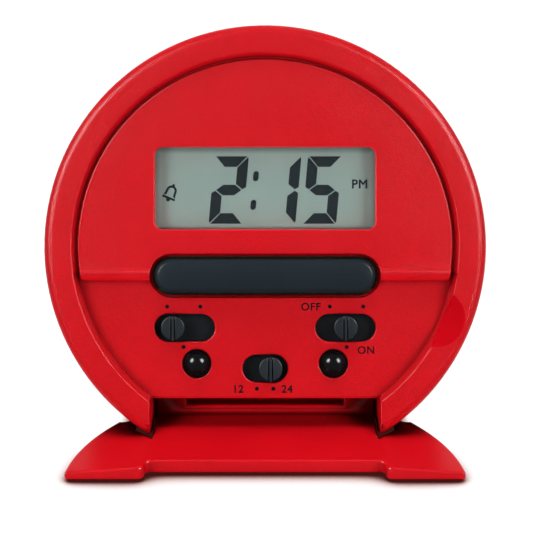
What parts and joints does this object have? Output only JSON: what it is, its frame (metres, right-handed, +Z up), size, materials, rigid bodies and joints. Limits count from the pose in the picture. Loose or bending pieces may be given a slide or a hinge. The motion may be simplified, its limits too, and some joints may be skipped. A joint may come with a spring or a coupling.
{
  "type": "digital alarm clock",
  "caption": "Round leaning travel alarm clock with a segment display, long top button, slide switches, round buttons and a hinged cover that folds down as its stand.",
  "frame": {"origin": "middle of the bounding box at table level, with the stand open", "axes": "+X to the viewer's right, +Y from the face to the back, +Z up"},
  "size_m": [0.08, 0.0609, 0.0727],
  "materials": {
    "red_shell": "satin moulded, fine grain",
    "red_stand": "satin moulded",
    "clear_window": "clear",
    "display_grey": "matt grey-green",
    "dark_button": "fine grain",
    "dark_switch": "satin",
    "black_button": "polished",
    "steel": "turned",
    "rubber_pad": "matt",
    "board_green": "coated",
    "cell_jacket": "printed jacket",
    "contact_brass": "plain",
    "lamp_white": "clear white"
  },
  "bodies": {
    "case": {"case_front": "red_shell", "case_back": "red_shell", "display_window": "clear_window", "display_panel": "display_grey", "left_pin": "steel", "right_pin": "steel", "left_case_pad": "rubber_pad", "right_case_pad": "rubber_pad", "circuit_board": "board_green", "switch_pads": "rubber_pad", "battery": "cell_jacket", "left_contact": "contact_brass", "right_contact": "contact_brass", "sounder": "contact_brass", "lamp": "lamp_white", "upper_left_screw": "steel", "upper_right_screw": "steel", "lower_left_screw": "steel", "lower_right_screw": "steel"},
    "long_button": {"long_button": "dark_button"},
    "mode_switch": {"mode_switch": "dark_switch"},
    "alarm_switch": {"alarm_switch": "dark_switch"},
    "hour_switch": {"hour_switch": "dark_switch"},
    "left_button": {"left_button": "black_button"},
    "right_button": {"right_button": "black_button"},
    "stand": {"stand": "red_stand", "left_stand_pad": "rubber_pad", "right_stand_pad": "rubber_pad"},
    "battery_door": {"battery_door": "red_shell"}
  },
  "joints": [
    {"name": "stand_hinge", "type": "hinge", "parent": "case", "child": "stand", "pos_m": [0, -0.01055, 0.00877], "axis": [-1, 0, 0], "range_deg": [0, 109]},
    {"name": "long_button_press", "type": "slide", "parent": "case", "child": "long_button", "axis": [0, 0.9455, -0.3256], "range_m": [0, 0.0008], "stiffness_N_per_m": 800, "springref_m": -0.0008},
    {"name": "left_button_press", "type": "slide", "parent": "case", "child": "left_button", "axis": [0, 0.9455, -0.3256], "range_m": [0, 0.0006], "stiffness_N_per_m": 600, "springref_m": -0.0006},
    {"name": "right_button_press", "type": "slide", "parent": "case", "child": "right_button", "axis": [0, 0.9455, -0.3256], "range_m": [0, 0.0006], "stiffness_N_per_m": 600, "springref_m": -0.0006},
    {"name": "mode_switch_slide", "type": "slide", "parent": "case", "child": "mode_switch", "axis": [1, 0, 0], "range_m": [0, 0.0042]},
    {"name": "alarm_switch_slide", "type": "slide", "parent": "case", "child": "alarm_switch", "axis": [1, 0, 0], "range_m": [-0.0021, 0.0021]},
    {"name": "hour_switch_slide", "type": "slide", "parent": "case", "child": "hour_switch", "axis": [1, 0, 0], "range_m": [-0.002, 0]},
    {"name": "battery_door_lift", "type": "slide", "parent": "case", "child": "battery_door", "axis": [0, 0.9455, -0.3256], "range_m": [0, 0.012]}
  ]
}
